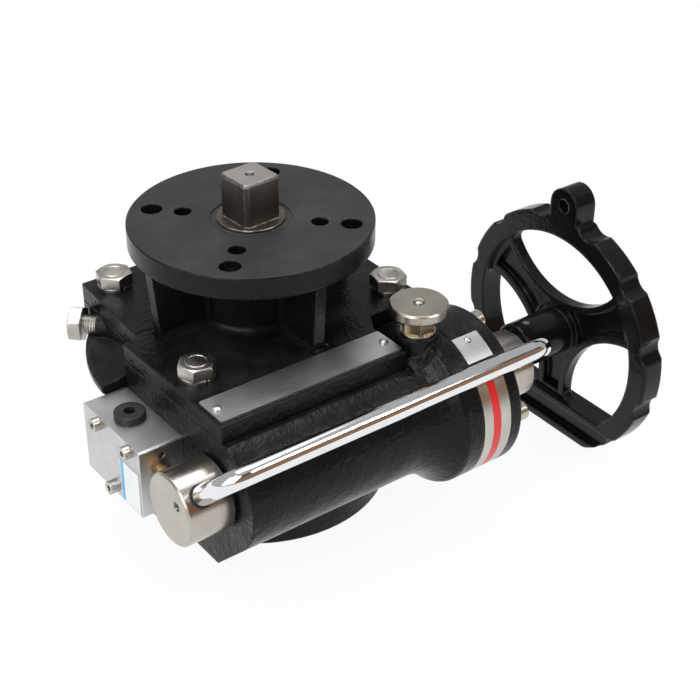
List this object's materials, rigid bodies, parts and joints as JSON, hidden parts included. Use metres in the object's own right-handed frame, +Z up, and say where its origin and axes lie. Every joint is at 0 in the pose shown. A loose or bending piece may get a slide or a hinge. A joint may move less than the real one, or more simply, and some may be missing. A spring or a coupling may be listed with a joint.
{
  "type": "declutchable valve gear operator",
  "caption": "Worm gear operator with a declutch lever, handwheel, air interlock valve and flanged square drive for turning a quarter-turn valve by hand.",
  "frame": {"origin": "centre of the bottom mounting face, on the axis of the output shaft", "axes": "+Z up along the output shaft, +X along the worm towards the handwheel, -Y the worm side"},
  "size_m": [0.2699, 0.2184, 0.1766],
  "materials": {
    "black_paint": "semi-gloss black enamel",
    "gloss_black": "gloss black enamel on a casting",
    "steel": "zinc plated",
    "dark_steel": "plain turned steel",
    "chrome": "polished chrome",
    "nickel": "turned and nickel plated",
    "bronze": "cast and machined",
    "aluminium": "brushed",
    "rubber": "matt",
    "fibre": "pressed fibre",
    "plate": "bare anodised plate",
    "black_plastic": "matt"
  },
  "bodies": {
    "base": {"gear_case": "black_paint", "case_cover": "black_paint", "cover_gasket": "fibre", "cover_bolts": "steel", "spring_washers": "steel", "stop_bolts": "steel", "lower_shaft_bush": "bronze", "lower_shaft_seal": "rubber", "upper_shaft_bush": "bronze", "upper_shaft_seal": "rubber", "index_ring": "nickel", "end_cover": "black_paint", "end_cover_screws": "nickel", "position_plate": "plate", "plunger_body": "nickel", "plunger_washer": "steel", "plunger_spring": "steel", "name_plate": "plate", "name_plate_rivets": "aluminium", "valve_block": "aluminium", "valve_screws": "steel", "valve_fitting": "black_plastic", "valve_label": "plate"},
    "output": {"drive_shaft": "dark_steel", "shaft_keys": "dark_steel", "worm_wheel": "bronze"},
    "lever": {"eccentric_sleeve": "nickel", "lever_knob": "nickel", "lever_rod": "chrome", "lever_grub_screws": "dark_steel", "input_bushes": "bronze", "input_seal": "rubber"},
    "input": {"worm": "steel", "worm_pin": "steel", "input_shaft": "steel", "handwheel": "gloss_black", "handwheel_pin": "steel", "handwheel_screw": "steel", "handwheel_washer": "steel"},
    "plunger": {"index_plunger": "nickel"},
    "valve_pin": {"valve_plunger": "bronze"}
  },
  "joints": [
    {"name": "output_turn", "type": "hinge", "parent": "base", "child": "output", "pos_m": [0, 0, 0], "axis": [0, 0, 1], "range_deg": [-4, 86]},
    {"name": "lever_swing", "type": "hinge", "parent": "base", "child": "lever", "pos_m": [0, -0.0774, 0.06299], "axis": [1, 0, 0], "range_deg": [0, 110]},
    {"name": "worm_spin", "type": "hinge", "parent": "lever", "child": "input", "pos_m": [0, -0.0714, 0.0667], "axis": [1, 0, 0], "range_deg": [-3956, 184]},
    {"name": "index_pull", "type": "slide", "parent": "base", "child": "plunger", "axis": [0, 0, 1], "range_m": [0, 0.005], "stiffness_N_per_m": 600, "springref_m": -0.004, "deforming": ["plunger_spring"]},
    {"name": "valve_press", "type": "slide", "parent": "base", "child": "valve_pin", "axis": [0, 1, 0], "range_m": [0, 0.002]}
  ],
  "couplings": [
    {"joint": "output_turn", "follows": "worm_spin", "ratio": -0.021739},
    {"joint": "valve_press", "follows": "lever_swing", "m_per_rad": 0.0010416}
  ]
}
